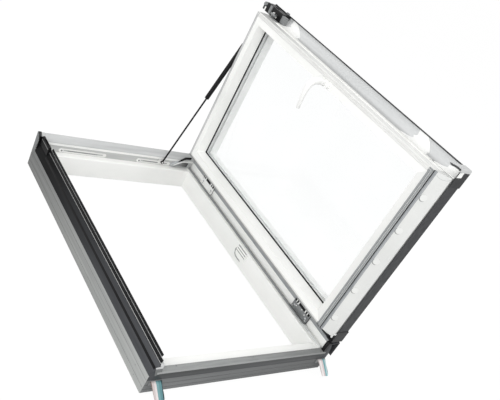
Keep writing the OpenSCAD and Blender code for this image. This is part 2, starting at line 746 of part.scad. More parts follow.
// Window handle, drawn out from the face of the closed sash
module at_handle() {
  opened() translate([handle_at[0], handle_at[1], sash_z]) rotate([180, 0, 0]) children();
}
spindle_r = 5;
rosette_len = 40;
rosette_r = 13;
module rosette() {
  color("white") at_handle() difference() {
    linear_extrude(base_t) rotate(90) stadium(rosette_len, rosette_r);
    translate([0, 0, -1]) cylinder(h = base_t + 2, r = spindle_r + run_gap);
  }
}
module lever() {
  back = 14;
  color("white") at_handle() {
    translate([0, 0, 1]) cylinder(h = base_t + end_gap, r = spindle_r);
    translate([0, 0, base_t + end_gap]) cylinder(h = lever_out - base_t - 2, r = 7);
    intersection() {
      translate([0, 0, lever_out - lever_bend_r]) rotate([90, 0, 0])
        linear_extrude(lever_w, center = true) difference() {
          circle(lever_bend_r + lever_t / 2, $fn = 128);
          circle(lever_bend_r - lever_t / 2, $fn = 128);
        }
      linear_extrude(lever_out + lever_t)
        translate([(lever_len - back) / 2, 0]) stadium(lever_len + back - lever_w, lever_w / 2);
    }
  }
}

sill();  // frame_sill
head();  // frame_head
jamb_left();  // frame_jamb_left
jamb_right();  // frame_jamb_right
side_panel();  // side_panel_left
mirror([1, 0, 0]) side_panel();  // side_panel_right
front_panel();  // sill_panel
lip();  // sill_cover
drip();  // sill_drip
jamb_cover();  // jamb_cover_left
mirror([1, 0, 0]) jamb_cover();  // jamb_cover_right
upper_cover();  // head_cover
for (m = [0, 1]) mirror([m, 0, 0]) jamb_seal();  // jamb_seals
bead();  // head_bead
for (m = [0, 1]) mirror([m, 0, 0]) lip_gasket();  // ledge_gasket
corner_cap();  // corner_cap_left
mirror([1, 0, 0]) corner_cap();  // corner_cap_right
corner_block("gainsboro", crest[1]);  // jamb_end_left
mirror([1, 0, 0]) corner_block("#232325", seal_z);  // jamb_end_right
rain_cover();  // hinge_side_cover
keeper_rail();  // keeper
bracket(left + bracket_left_in);  // bracket_left
bracket(right - bracket_right_in);  // bracket_right
frame_leaf(hinge_low_y);  // hinge_leaf_frame_lower
frame_leaf(hinge_high_y);  // hinge_leaf_frame_upper
pins();  // hinge_pins
leaf_screws();  // hinge_screws
bushes();  // hinge_bushes
track(left + track_left_x, track_left_len);  // track_left
track(right - track_right_x, track_right_len);  // track_right
foot_plate();  // strut_foot
stop_arm();  // stop_bracket
finger_grip();  // finger_catch
sash_member("sill");  // sash_rail_sill
sash_member("head");  // sash_rail_head
sash_member("left");  // sash_stile_free
sash_member("right");  // sash_stile_hinge
sill_board();  // sash_sill_board
pane(pane_z);  // inner_pane
pane(outer_pane_z);  // outer_pane
spacer();  // spacer_bar
glazing_bead();  // glazing_gasket
edge_seals();  // sash_seals
cladding("sill", clad_sill, clad_drop);  // cladding_sill
cladding("head", clad_head, clad_lip);  // cladding_head
cladding("left", clad_free, clad_lip);  // cladding_free
cladding("right", clad_hinge, clad_lip);  // cladding_hinge
end_cap(sash_rect[0] - clad_free, 1, cap_free_len);  // end_cap_free
end_cap(sash_rect[2] + clad_hinge + cap_hinge_over, -1, cap_hinge_len);  // end_cap_hinge
clips();  // cladding_clips
plugs();  // screw_plugs
sash_leaf(hinge_low_y);  // hinge_leaf_sash_lower
sash_leaf(hinge_high_y);  // hinge_leaf_sash_upper
lock_box();  // lock_case
sash_stud();  // strut_stud
rosette();  // handle_base
lever();  // handle_lever
bar();  // lock_bar
rod();  // strut_rod
barrel();  // strut_barrel
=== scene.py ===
import bmesh
import bpy
import json
import math
from mathutils import Matrix, Vector


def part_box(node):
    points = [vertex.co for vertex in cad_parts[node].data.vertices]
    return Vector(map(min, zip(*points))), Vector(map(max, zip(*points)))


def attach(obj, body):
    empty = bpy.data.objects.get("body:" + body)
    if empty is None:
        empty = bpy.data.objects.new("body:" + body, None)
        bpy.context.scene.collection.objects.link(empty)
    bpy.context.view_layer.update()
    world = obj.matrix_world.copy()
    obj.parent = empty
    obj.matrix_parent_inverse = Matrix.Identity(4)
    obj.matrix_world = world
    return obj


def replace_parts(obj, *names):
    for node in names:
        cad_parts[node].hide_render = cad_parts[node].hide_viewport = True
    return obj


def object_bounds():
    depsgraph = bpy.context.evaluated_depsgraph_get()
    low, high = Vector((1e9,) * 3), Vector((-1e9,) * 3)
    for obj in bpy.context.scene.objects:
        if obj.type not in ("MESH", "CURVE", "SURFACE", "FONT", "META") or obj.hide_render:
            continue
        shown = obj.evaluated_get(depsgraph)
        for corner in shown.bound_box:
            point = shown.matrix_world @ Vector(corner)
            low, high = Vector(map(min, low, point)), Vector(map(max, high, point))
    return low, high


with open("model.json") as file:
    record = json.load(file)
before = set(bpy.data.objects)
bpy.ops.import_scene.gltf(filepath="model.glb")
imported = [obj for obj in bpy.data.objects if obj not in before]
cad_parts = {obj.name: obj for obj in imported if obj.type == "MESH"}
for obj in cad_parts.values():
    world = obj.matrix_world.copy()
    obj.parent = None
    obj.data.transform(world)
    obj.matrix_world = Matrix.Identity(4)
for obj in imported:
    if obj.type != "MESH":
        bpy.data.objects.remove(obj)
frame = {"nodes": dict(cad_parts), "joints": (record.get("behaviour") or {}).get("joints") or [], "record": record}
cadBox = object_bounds()
mm = 0.001
scene = bpy.context.scene
scene.view_settings.view_transform = "Standard"
print("frame loaded:", len(frame["nodes"]), "nodes")


# camera, fitted to the corners of the frame and the open sash
cameraSetup = {
    "place": (-1.383935, -0.978995, 1.379887),
    "right": (0.7673357, -0.4707512, 0.4354184),
    "up": (-0.0113180, 0.6689715, 0.7432019),
    "back": (-0.6411457, -0.5752135, 0.5079978),
    "sensor": 36,
    "lens": 45.558,
    "shift": (0.02986, 0.11723),
}


def makeCamera(s):
    data = bpy.data.cameras.new("camera")
    data.sensor_width = s["sensor"]
    data.lens = s["lens"]
    data.shift_x, data.shift_y = s["shift"]
    data.dof.use_dof = False
    cam = bpy.data.objects.new("camera", data)
    turn = Matrix((s["right"], s["up"], s["back"])).transposed()
    cam.matrix_world = Matrix.Translation(s["place"]) @ turn.to_4x4()
    scene.collection.objects.link(cam)
    scene.camera = cam


makeCamera(cameraSetup)
print("camera placed")


# colours are written as they look on screen
def look(hexColour):
    out = []
    for i in (0, 2, 4):
        c = int(hexColour[i:i + 2], 16) / 255
        out.append(c / 12.92 if c <= 0.04045 else ((c + 0.055) / 1.055) ** 2.4)
    return (*out, 1.0)


class NodeBench:  # short hand for the node tree of a material or the world
    def __init__(self, owner):
        owner.use_nodes = True
        self.tree = owner.node_tree
        self.tree.nodes.clear()

    def add(self, kind, **sockets):
        node = self.tree.nodes.new(kind)
        for name, value in sockets.items():
            node.inputs[name.replace("_", " ")].default_value = value
        return node

    def join(self, out, into):
        self.tree.links.new(out, into)

    # 1 for what the camera sees, straight on or by way of metal and glass
    def seen(self):
        path = self.add("ShaderNodeLightPath")
        last = path.outputs["Is Camera Ray"]
        for ray in ("Is Glossy Ray", "Is Transmission Ray"):
            most = self.add("ShaderNodeMath")
            most.operation = "MAXIMUM"
            self.join(last, most.inputs[0])
            self.join(path.outputs[ray], most.inputs[1])
            last = most.outputs[0]
        return last

    # the second shader where share is 1, and on to the output
    def finishMix(self, share, first, second, outKind):
        mix = self.add("ShaderNodeMixShader")
        out = self.add(outKind)
        self.join(share, mix.inputs[0])
        self.join(first.outputs[0], mix.inputs[1])
        self.join(second.outputs[0], mix.inputs[2])
        self.join(mix.outputs[0], out.inputs["Surface"])


studio = {
    "white": (1, 1, 1, 1),
    "sky": 0.70,          # soft light from all round
    "floorSize": 60.0,
    "floorDrop": 0.004,
    "floorGlow": 0.92,    # what the camera sees without any lamp
    "floorTint": 0.11,    # what the lamps add to it, so the shadow stays
    "floorBounce": 0.62,
    "lamps": [
        # name, from, aimed at, size, watts
        ("keyLamp", (-3.2, -1.2, 3.4), (0.0, 0.45, 0.3), 3.0, 68),
        ("topLamp", (-0.4, 0.6, 4.4), (0.1, 0.55, 0.2), 3.4, 30),
        ("sideLamp", (-4.4, 0.4, 1.0), (0.0, 0.5, 0.3), 2.6, 42),
        ("frontLamp", (0.3, -3.8, 0.6), (0.0, 1.0, 0.2), 2.0, 52),
    ],
}


def makeWorld(s):
    world = bpy.data.worlds.new("studioWorld")
    scene.world = world
    b = NodeBench(world)
    soft = b.add("ShaderNodeBackground", Color=s["white"], Strength=s["sky"])
    white = b.add("ShaderNodeBackground", Color=s["white"])
    b.finishMix(b.seen(), soft, white, "ShaderNodeOutputWorld")


def makeFloor(s):
    half = s["floorSize"] / 2
    mesh = bpy.data.meshes.new("floor")
    corners = [(-half, -half, 0), (half, -half, 0), (half, half, 0), (-half, half, 0)]
    mesh.from_pydata(corners, [], [(0, 1, 2, 3)])
    floor = bpy.data.objects.new("floor", mesh)
    floor.location.z = cadBox[0][2] - s["floorDrop"]
    scene.collection.objects.link(floor)
    mat = bpy.data.materials.new("paleFloor")
    mesh.materials.append(mat)
    b = NodeBench(mat)
    bounce = b.add("ShaderNodeBsdfDiffuse", Color=(s["floorBounce"],) * 3 + (1,))
    tint = b.add("ShaderNodeBsdfDiffuse", Color=(s["floorTint"],) * 3 + (1,))
    glow = b.add("ShaderNodeEmission", Strength=s["floorGlow"])
    both = b.add("ShaderNodeAddShader")
    b.join(tint.outputs[0], both.inputs[0])
    b.join(glow.outputs[0], both.inputs[1])
    b.finishMix(b.seen(), bounce, both, "ShaderNodeOutputMaterial")


def makeLamps(s):
    for name, place, aim, size, watts in s["lamps"]:
        lamp = bpy.data.lights.new(name, "AREA")
        lamp.size = size
        lamp.energy = watts
        obj = bpy.data.objects.new(name, lamp)
        obj.location = place
        obj.rotation_euler = (Vector(aim) - Vector(place)).to_track_quat("-Z", "Y").to_euler()
        scene.collection.objects.link(obj)


makeWorld(studio)
makeFloor(studio)
makeLamps(studio)
print("studio set")


# a finish: light and dark colour clouded together, gloss from and to, the cloud's stretch,
# the grain's strength and fineness; some also have
#   fade   axis, from and to, brightness at both; a fade is painted light and shade
#   bands  axis, then where each colour starts
#   below  a height, and the colour under it
def paint(light, dark, gloss, cloud, grain, **more):
    return {"pair": (light, dark), "gloss": gloss, "cloud": cloud, "grain": grain, **more}


finishes = {
    "white_frame": paint("fcfcfa", "f4f5f2", (0.34, 0.46), (3, 3, 5), (0.04, 420)),
    "white_sash": paint("fbfbf9", "f3f4f1", (0.30, 0.42), (3, 3, 3), (0.03, 420)),
    # painted shade: the side panels darken from the sill end towards the head
    "grey_panel": paint("a3a5a3", "8f9190", (0.46, 0.60), (30, 1.6, 90), (0.10, 300),
                        fade=("y", -0.03, 1.15, 1.18, 0.40)),
    # a darker copy of the panels' grey for the sill's front, fading darker to the right: painted shade
    "sill_grey_shaded": paint("747677", "666868", (0.46, 0.60), (1.6, 30, 120), (0.08, 300),
                       fade=("x", -0.36, 0.36, 1.0, 0.52)),
    # painted shade: lighter at the bottom, darker towards the top
    "drip_grey": paint("2e3032", "242627", (0.40, 0.52), (2, 30, 60), (0.06, 500),
                       fade=("z", 0.054, 0.085, 1.5, 0.75)),
    # painted shade: darker to the right
    "grey_trim": paint("a2a4a3", "8b8d8d", (0.34, 0.50), (3, 30, 60), (0.06, 300),
                       fade=("x", -0.36, 0.38, 1.0, 0.66)),
    # painted reflection and shade: bright at the sill end, nearly black towards the head
    "dark_cover": paint("3d3e40", "313234", (0.40, 0.52), (30, 2, 30), (0.06, 700),
                        spec=0.05, fade=("y", 0.0, 0.98, 1.9, 0.12)),
    "grey_rubber": paint("a6a9ab", "8f9295", (0.50, 0.64), (9, 9, 9), (0.10, 900)),
    "black_rubber": paint("1b1b1c", "101011", (0.46, 0.62), (9, 9, 9), (0.10, 900), spec=0.12),
    "black_plastic": paint("1d1d1f", "131314", (0.30, 0.48), (14, 14, 14), (0.08, 900), spec=0.15),
    "white_clip": paint("fafaf8", "eeefed", (0.30, 0.40), (8, 8, 8), (0.04, 600)),
    "steel": paint("cfd1d2", "a9acae", (0.20, 0.36), (20, 20, 60), (0.04, 900), metal=1),
    "grey_fitting": paint("c6c9ca", "b0b4b6", (0.34, 0.48), (12, 12, 12), (0.06, 600)),
    "strut_black": paint("1c1c1e", "121213", (0.30, 0.42), (14, 14, 14), (0.04, 900), spec=0.12),
    "spacer": paint("e4e5e5", "d8d9d9", (0.30, 0.42), (12, 12, 12), (0.04, 600)),
    # painted shade: darker towards the sash's edge
    "silver_liner": paint("d0d1d1", "bfc1c1", (0.34, 0.46), (30, 1.5, 30), (0.05, 500),
                          fade=("x", 0.356, 0.390, 0.44, 1.1)),
    "pale_bead": paint("fefefd", "f6f7f6", (0.34, 0.46), (6, 6, 6), (0.03, 500)),
    "pale_gasket": paint("b4b6b7", "a0a2a3", (0.50, 0.60), (9, 9, 9), (0.06, 900)),
    # a pale gasket darkened in steps towards the head: painted shade
    "ledge_painted_shade": paint("ffffff", "e6e6e6", (0.50, 0.60), (9, 9, 9), (0.06, 900),
                        bands=("y", (-0.1, "dcdddc"), (0.075, "c6c7c7"), (0.115, "a9abab"),
                               (0.15, "8f9192"))),
    # painted shadow lines: between the finger catch's ribs, and crescents round the screw plugs
    "shadow_line_grey": paint("868888", "767878", (0.50, 0.60), (9, 9, 9), (0.06, 900)),
    "dull_screw": paint("8d8f90", "6f7172", (0.30, 0.45), (60, 60, 60), (0.06, 900)),
    # painted shade: darker towards the head
    "line_grey": paint("c6c7c6", "b2b3b3", (0.40, 0.52), (12, 3, 12), (0.04, 600),
                       fade=("y", 0.2, 1.0, 1.0, 0.6)),
    # painted shade down in the grooves; on the side panels it darkens towards the head
    "groove_shade": paint("4a4c4c", "3a3c3c", (0.50, 0.62), (4, 4, 30), (0.06, 600)),
    "groove_shade_soft": paint("767877", "646665", (0.50, 0.62), (4, 4, 30), (0.06, 600),
                         fade=("y", -0.03, 1.15, 1.05, 0.5)),
    # a lighter copy of the grey trim for the head cover: painted light
    "head_grey_lit": paint("cccdcd", "b8baba", (0.40, 0.52), (2, 30, 60), (0.06, 400)),
    # darker copies of the sash's white for the sill board and its plugs: painted shade
    "board_white_shaded": paint("d9dad8", "cfd0ce", (0.34, 0.46), (3, 3, 3), (0.03, 420)),
    "plug_white_shaded": paint("e0e1df", "d7d8d6", (0.34, 0.46), (3, 3, 3), (0.03, 420)),
    "edge_shade": paint("f6f6f4", "edeeec", (0.34, 0.46), (3, 3, 3), (0.03, 420),
                        fade=("y", 0.70, 0.98, 1.0, 0.58)),
    "pale_line": paint("b6b6b4", "a9a9a8", (0.40, 0.52), (9, 9, 9), (0.04, 600)),
    "pale_bar": paint("f1f1ef", "e4e4e2", (0.34, 0.46), (9, 9, 9), (0.04, 600)),
    # a darker copy of the sash's white for the sill rail: painted shade
    "rail_white_shaded": paint("eeeeec", "e5e6e4", (0.34, 0.46), (3, 3, 3), (0.03, 420)),
    "wall_grey": paint("c3c4c3", "b3b4b3", (0.40, 0.54), (3, 40, 60), (0.06, 600)),
    "recess_shade": paint("a0a2a2", "8e9090", (0.44, 0.58), (30, 30, 60), (0.06, 600),
                          fade=("x", 0.262, 0.330, 1.0, 0.12)),
    "clad_dark": paint("414244", "353638", (0.38, 0.50), (30, 2, 30), (0.06, 700), spec=0.12),
    "end_dark": paint("2b2c2e", "212223", (0.36, 0.50), (14, 14, 14), (0.06, 700), spec=0.2),
    "end_mixed": paint("ffffff", "e8e8e8", (0.36, 0.50), (14, 14, 14), (0.06, 700),
                       spec=0.2, bands=("z", (-1.0, "2b2c2e"), (0.8985, "d2d3d3"))),
    "bar_tip": paint("ffffff", "f2f2f0", (0.30, 0.42), (12, 12, 12), (0.04, 600),
                     bands=("y", (-1.0, "f1f1ef"), (1.02, "8d8f90"))),
    "mid_fitting": paint("8b8d8e", "717374", (0.30, 0.44), (20, 20, 20), (0.06, 700)),
    # a dark fill; in the cladding's inner corner, the sill step, the cap's slit and along the hinge legs it is
    # painted shade
    "dark_hollow": paint("434445", "2c2d2e", (0.44, 0.58), (20, 20, 40), (0.06, 700)),
    "edge_seal": paint("fafafa", "eeeeee", (0.46, 0.58), (9, 9, 9), (0.06, 900),
                       bands=("y", (-0.1, "979a9b"), (0.0365, "e9e9e7"), (1.084, "d0d1d1")),
                       below=(0.1832, "b4b6b6")),
    # grey with a lighter top edge: painted highlight
    "corner_block": paint("ffffff", "ececec", (0.44, 0.58), (20, 20, 40), (0.06, 500),
                          bands=("z", (-1.0, "6c6e6e"), (0.106, "cfd0d0"))),
    "corner_cap": paint("fafafa", "e6e6e6", (0.44, 0.58), (20, 3, 40), (0.08, 400),
                        bands=("x", (-0.6, "77797a"), (-0.3885, "1f1f21"))),
    "zinc_left": paint("ffffff", "e2e2e2", (0.24, 0.38), (40, 14, 14), (0.04, 900), metal=0.6,
                       bands=("x", (-0.6, "8d7a72"), (-0.3725, "d8cdcc"), (-0.365, "ece4e3"),
                              (-0.357, "7fa9ae"), (-0.348, "6a979d"), (-0.339, "3d4e51"))),
    "zinc_right": paint("ffffff", "e2e2e2", (0.24, 0.38), (40, 14, 14), (0.04, 900), metal=0.6,
                        bands=("x", (-0.6, "cfc6c5"), (0.350, "f4eeed"), (0.362, "e3d3d3"),
                               (0.370, "7fb0b6"), (0.378, "bddcdf"), (0.385, "2f3c3e"))),
}


# painted light and shade: lighter or darker from one end of a long piece to the other
def paintedLightAlong(b, where, colour, axis, start, end, first, last):
    split = b.add("ShaderNodeSeparateXYZ")
    ramp = b.add("ShaderNodeMapRange", From_Min=start, From_Max=end, To_Min=first, To_Max=last)
    tone = b.add("ShaderNodeHueSaturation")
    b.join(where.outputs["Object"], split.inputs[0])
    b.join(split.outputs[axis.upper()], ramp.inputs["Value"])
    b.join(ramp.outputs[0], tone.inputs["Value"])
    b.join(colour, tone.inputs["Color"])
    return tone.outputs[0]


# bands of colour across a piece, each one clouded by the finish's own pair
def bandsAlong(b, where, colour, axis, bands):
    split = b.add("ShaderNodeSeparateXYZ")
    b.join(where.outputs["Object"], split.inputs[0])
    last = None
    for start, shadeHex in bands:
        tint = b.add("ShaderNodeRGB")
        tint.outputs[0].default_value = look(shadeHex)
        if last is None:
            last = tint.outputs[0]
            continue
        past = b.add("ShaderNodeMath")
        past.operation = "GREATER_THAN"
        past.inputs[1].default_value = start
        mix = b.add("ShaderNodeMixRGB")
        b.join(split.outputs[axis.upper()], past.inputs[0])
        b.join(past.outputs[0], mix.inputs[0])
        b.join(last, mix.inputs[1])
        b.join(tint.outputs[0], mix.inputs[2])
        last = mix.outputs[0]
    cover = b.add("ShaderNodeMixRGB", Fac=1.0)
    cover.blend_type = "MULTIPLY"
    b.join(colour, cover.inputs[1])
    b.join(last, cover.inputs[2])
    return cover.outputs[0]


# colour and roughness of a clouded surface
def clouded(b, where, s, noise, ends):
    stretch = b.add("ShaderNodeMapping", Scale=s["cloud"])
    cloud = b.add("ShaderNodeTexNoise", **noise)
    shade = b.add("ShaderNodeValToRGB")
    for stop, at, colour in zip(shade.color_ramp.elements, ends, s["pair"]):
        stop.position = at
        stop.color = look(colour)
    worn = b.add("ShaderNodeMapRange", To_Min=s["gloss"][0], To_Max=s["gloss"][1])
    b.join(where.outputs["Object"], stretch.inputs["Vector"])
    b.join(stretch.outputs[0], cloud.inputs["Vector"])
    b.join(cloud.outputs[0], shade.inputs[0])
    b.join(cloud.outputs[0], worn.inputs["Value"])
    return shade.outputs[0], worn.outputs[0]


surface = {
    "noise": {"Scale": 1.6, "Detail": 5.0, "Roughness": 0.55},
    "ends": (0.30, 0.70),
    "grainDetail": 2.0,
    "grainDeep": 0.0004,
    "spec": 0.5,           # where a finish has none of its own
}


def makeFinish(name, s):
    mat = bpy.data.materials.new(name)
    b = NodeBench(mat)
    where = b.add("ShaderNodeTexCoord")
    colour, rough = clouded(b, where, s, surface["noise"], surface["ends"])
    strength, fineness = s["grain"]
    fine = b.add("ShaderNodeTexNoise", Scale=fineness, Detail=surface["grainDetail"])
    bump = b.add("ShaderNodeBump", Strength=strength, Distance=surface["grainDeep"])
    skin = b.add("ShaderNodeBsdfPrincipled", Metallic=s.get("metal", 0))
    skin.inputs["Specular IOR Level"].default_value = s.get("spec", surface["spec"])
    out = b.add("ShaderNodeOutputMaterial")
    b.join(where.outputs["Object"], fine.inputs["Vector"])
    b.join(fine.outputs[0], bump.inputs["Height"])
    if "fade" in s:
        colour = paintedLightAlong(b, where, colour, *s["fade"])
    if "bands" in s:
        colour = bandsAlong(b, where, colour, s["bands"][0], s["bands"][1:])
    if "below" in s:
        height, shadeHex = s["below"]
        colour = bandsAlong(b, where, colour, "z", [(-1.0, shadeHex), (height, "ffffff")])
    b.join(colour, skin.inputs["Base Color"])
    b.join(rough, skin.inputs["Roughness"])
    b.join(bump.outputs[0], skin.inputs["Normal"])
    b.join(skin.outputs[0], out.inputs["Surface"])
    return mat


glassLook = {
    "pair": ("ffffff", "fcfdfd"),
    "gloss": (0.0, 0.02),
    "cloud": (2, 2, 2),
    "noise": {"Scale": 1.5, "Detail": 2.0},
    "ends": (0.0, 1.0),
    "bend": 1.15,
    "clear": (0.985, 0.99, 0.985, 1),
}


def makeGlass(s):
    mat = bpy.data.materials.new("glass")
    b = NodeBench(mat)
    where = b.add("ShaderNodeTexCoord")
    colour, rough = clouded(b, where, s, s["noise"], s["ends"])
    skin = b.add("ShaderNodeBsdfPrincipled", IOR=s["bend"])
    skin.inputs["Transmission Weight"].default_value = 1.0
    clear = b.add("ShaderNodeBsdfTransparent", Color=s["clear"])
    path = b.add("ShaderNodeLightPath")
    b.join(colour, skin.inputs["Base Color"])
    b.join(rough, skin.inputs["Roughness"])
    shadowRay = path.outputs["Is Shadow Ray"]  # lets the lamps through
    b.finishMix(shadowRay, skin, clear, "ShaderNodeOutputMaterial")
    return mat


finish = {name: makeFinish(name, s) for name, s in finishes.items()}
finish["glass"] = makeGlass(glassLook)
# nodes whose finish differs from the rest of their slot
ownFinish = {
    "sill_panel": "sill_grey_shaded", "sill_drip": "drip_grey", "head_cover": "head_grey_lit",
    "jamb_end_left": "corner_block", "corner_cap_left": "corner_cap",
    "keeper": "black_rubber", "ledge_gasket": "ledge_painted_shade", "sash_seals": "edge_seal",
    "bracket_left": "zinc_left", "bracket_right": "zinc_right",
    "hinge_leaf_frame_lower": "mid_fitting", "hinge_leaf_frame_upper": "white_clip",
    "track_left": "pale_bar", "track_right": "pale_bar", "strut_foot": "pale_bar", "lock_bar": "bar_tip",
    "sash_rail_sill": "rail_white_shaded", "sash_sill_board": "board_white_shaded",
    "end_cap_hinge": "end_dark", "end_cap_free": "end_mixed",
    "cladding_sill": "clad_dark", "cladding_head": "clad_dark",
    "cladding_free": "clad_dark", "cladding_hinge": "clad_dark",
}


def dressNodes():
    for part in frame["record"]["subparts"]:
        mesh = frame["nodes"][part["node"]].data
        mesh.materials.clear()
        mesh.materials.append(finish[ownFinish.get(part["node"], part["material_slot"])])


dressNodes()
print("finishes on the CAD nodes")


# the sash is drawn closed, in millimetres, and swung to where it stands open
hinge = next(j for j in frame["joints"] if j["name"] == "sash_hinge")
hingeX, _, hingeZ = (v / mm for v in hinge["pos_m"])
sharpFrom = math.radians(35)


def swung(x, y, z):
    return (hingeX + z - hingeZ, y, hingeZ + hingeX - x)


def still(x, y, z):
    return (x, y, z)


def piece(name, points, faces, finishName, body, place=still, smooth=False):
    mesh = bpy.data.meshes.new(name)
    mesh.from_pydata([Vector(place(*p)) * mm for p in points], [], faces)
    mesh.validate()
    obj = bpy.data.objects.new(name, mesh)
    scene.collection.objects.link(obj)
    mesh.materials.append(finish[finishName])
    tidyNormals(mesh)
    if smooth:
        mesh.shade_smooth()
        mesh.set_sharp_from_angle(angle=sharpFrom)
    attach(obj, body)
    return obj


def tidyNormals(mesh):
    work = bmesh.new()
    work.from_mesh(mesh)
    bmesh.ops.recalc_face_normals(work, faces=work.faces)
    work.to_mesh(mesh)
    work.free()


def rect(a0, b0, a1, b1):
    return [(a0, b0), (a1, b0), (a1, b1), (a0, b1)]


# gathers several closed solids into one piece
class Gather:
    def __init__(self):
        self.points, self.faces = [], []

    def solid(self, points, faces):
        base = len(self.points)
        self.points += points
        self.faces += [tuple(i + base for i in f) for f in faces]

    # an outline drawn out along an axis
    def prism(self, outline, low, high, axis):
        n = len(outline)
        put = {
            "x": lambda a, b, c: (c, a, b),
            "y": lambda a, b, c: (a, c, b),
            "z": lambda a, b, c: (a, b, c),
        }[axis]
        ends = [put(a, b, low) for a, b in outline] + [put(a, b, high) for a, b in outline]
        sides = [(i, (i + 1) % n, n + (i + 1) % n, n + i) for i in range(n)]
        self.solid(ends, [tuple(range(n)), tuple(range(2 * n - 1, n - 1, -1))] + sides)

    # faces between two neighbouring outlines of n points
    def strip(self, n, r, q):
        return [(r * n + i, r * n + (i + 1) % n, q * n + (i + 1) % n, q * n + i) for i in range(n)]

    # skins a row of outlines that have the same number of points, closed at both ends
    def loft(self, rows):
        n = len(rows[0])
        last = len(rows) - 1
        faces = [tuple(range(n)), tuple(range(len(rows) * n - 1, last * n - 1, -1))]
        for r in range(last):
            faces += self.strip(n, r, r + 1)
        self.solid([p for row in rows for p in row], faces)

    # skins closed loops one after the other, and the last one back to the first
    def ring(self, loops):
        faces = []
        for r in range(len(loops)):
            faces += self.strip(len(loops[0]), r, (r + 1) % len(loops))
        self.solid([p for loop in loops for p in loop], faces)

    def disc(self, centre, r, thick, axis, count=20):
        a, b, c = {"x": (1, 2, 0), "y": (0, 2, 1), "z": (0, 1, 2)}[axis]
        turns = [k * math.tau / count for k in range(count)]
        outline = [(centre[a] + r * math.cos(t), centre[b] + r * math.sin(t)) for t in turns]
        self.prism(outline, centre[c] - thick / 2, centre[c] + thick / 2, axis)

    def make(self, name, finishName, body, place=still, smooth=False):
        return piece(name, self.points, self.faces, finishName, body, place, smooth)


# a bent sheet's outline: a path of points, out on one side and back at its thickness
def sheetSolid(path, thick):
    back = []
    for i, (x, z) in enumerate(path):
        a = Vector(path[max(i - 1, 0)])
        b = Vector(path[min(i + 1, len(path) - 1)])
        along = (b - a).normalized()
        back.append((x - along.y * thick, z + along.x * thick))
    return list(path) + back[::-1]


def boxMm(node):
    low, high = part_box(node)
    return [v / mm for v in low], [v / mm for v in high]


# a sash node's box, turned back to where it is when closed
def closedBox(node):
    (x0, y0, z0), (x1, y1, z1) = boxMm(node)
    turned = hingeX + hingeZ
    back = hingeZ - hingeX
    return (turned - z1, y0, x0 + back), (turned - z0, y1, x1 + back)


# value at t on a line through stops
def between(t, stops):
    for (t0, v0), (t1, v1) in zip(stops, stops[1:]):
        if t <= t1:
            return v0 + (v1 - v0) * (t - t0) / (t1 - t0)
    return stops[-1][1]


sashLow, sashHigh = closedBox("sash_stile_free")
cladLow, cladHigh = closedBox("cladding_free")
lockLow = closedBox("lock_case")[0]
farX = closedBox("sash_stile_hinge")[1][0]
paneTop = closedBox("outer_pane")[1][2]

# silver inside of the cladding's overhang: a cove from the sash's edge out to the lip,
# with painted shade darker towards the sash's edge, and a dark strip of painted shade in the corner inside the lip
cove = {
    "start": 60,
    "edgeGap": 0.3,
    "lipGap": 4.6,
    "edge": (0.6, 195.4, 4.4, 198.2),   # painted shade in the corner inside the lip: from the lip, up
    "topGap": 2.0,
    "thick": 0.8,
    "steps": 22,
    "low": -21,
    "lockGap": 1.0,
}


def covePoint(t, inset):
    cx = cladLow[0] + cove["lipGap"]
    cz = sashLow[2] + cove["start"]
    rx = sashLow[0] - cove["edgeGap"] - cx - inset
    rz = cladHigh[2] - cove["topGap"] - cz - inset
    a = t * math.pi / 2
    return (cx + rx * math.cos(a), cz + rz * math.sin(a))


def makeCove(s):
    end = lockLow[1] - s["lockGap"]
    path = [covePoint(i / s["steps"], 0) for i in range(s["steps"] + 1)]
    g = Gather()
    g.prism(sheetSolid(path, s["thick"]), s["low"], end, "y")
    g.make("freeEdgeLiner", "silver_liner", "sash", swung, smooth=True)
    a, z0, b, z1 = s["edge"]
    g = Gather()
    g.prism(rect(cladLow[0] + a, z0, cladLow[0] + b, z1), s["low"], end, "y")
    g.make("freeEdgeShade", "dark_hollow", "sash", swung)


makeCove(cove)

# white clips over the cove: edges given as (share of the way out, place along the sash)
clips = {
    "inset": 2.6,
    "rows": 18,
    "edges": [
        ([(0, 893), (0.14, 893), (0.20, 902), (0.30, 896), (1, 978)],
         [(0, 1010), (0.12, 1006), (0.3, 994), (0.5, 986), (0.62, 1000), (1, 1003)]),
        ([(0, 114), (0.14, 114), (0.20, 123), (0.30, 117), (1, 169)],
         [(0, 246), (0.10, 240), (0.24, 212), (0.36, 204), (0.5, 214), (0.62, 205), (1, 214)]),
        ([(0, -19), (1, -19)],
         [(0, 72), (0.10, 68), (0.26, 44), (0.40, 36), (0.55, 42), (0.72, 20), (0.85, 4), (1, -10)]),
    ],
    "postHalf": (7, 8),
    "postIn": 15,
    "postShares": (0.2, 0.5, 0.8),
    "skin": 1.5,
}


def makeClips(s):
    g = Gather()
    for low, high in s["edges"]:
        rows = []
        for i in range(s["rows"] + 1):
            t = i / s["rows"]
            fx, fz = covePoint(t, s["inset"])
            bx, bz = covePoint(t, 0)
            y0, y1 = between(t, low), between(t, high)
            rows.append([(fx, y0, fz), (fx, y1, fz), (bx, y1, bz), (bx, y0, bz)])
        g.loft(rows)
    spots = []
    for t in s["postShares"]:
        x = sashLow[0] + t * (farX - sashLow[0])
        y = sashLow[1] + t * (sashHigh[1] - sashLow[1])
        spots += [(farX - s["postIn"], y), (x, sashLow[1] + s["postIn"]), (x, sashHigh[1] - s["postIn"])]
    hx, hy = s["postHalf"]
    for x, y in spots:
        g.prism(rect(x - hx, y - hy, x + hx, y + hy), sashHigh[2], cladHigh[2] - s["skin"], "z")
    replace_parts(g.make("claddingClipsWavy", "white_clip", "sash", swung), "cladding_clips")


makeClips(clips)

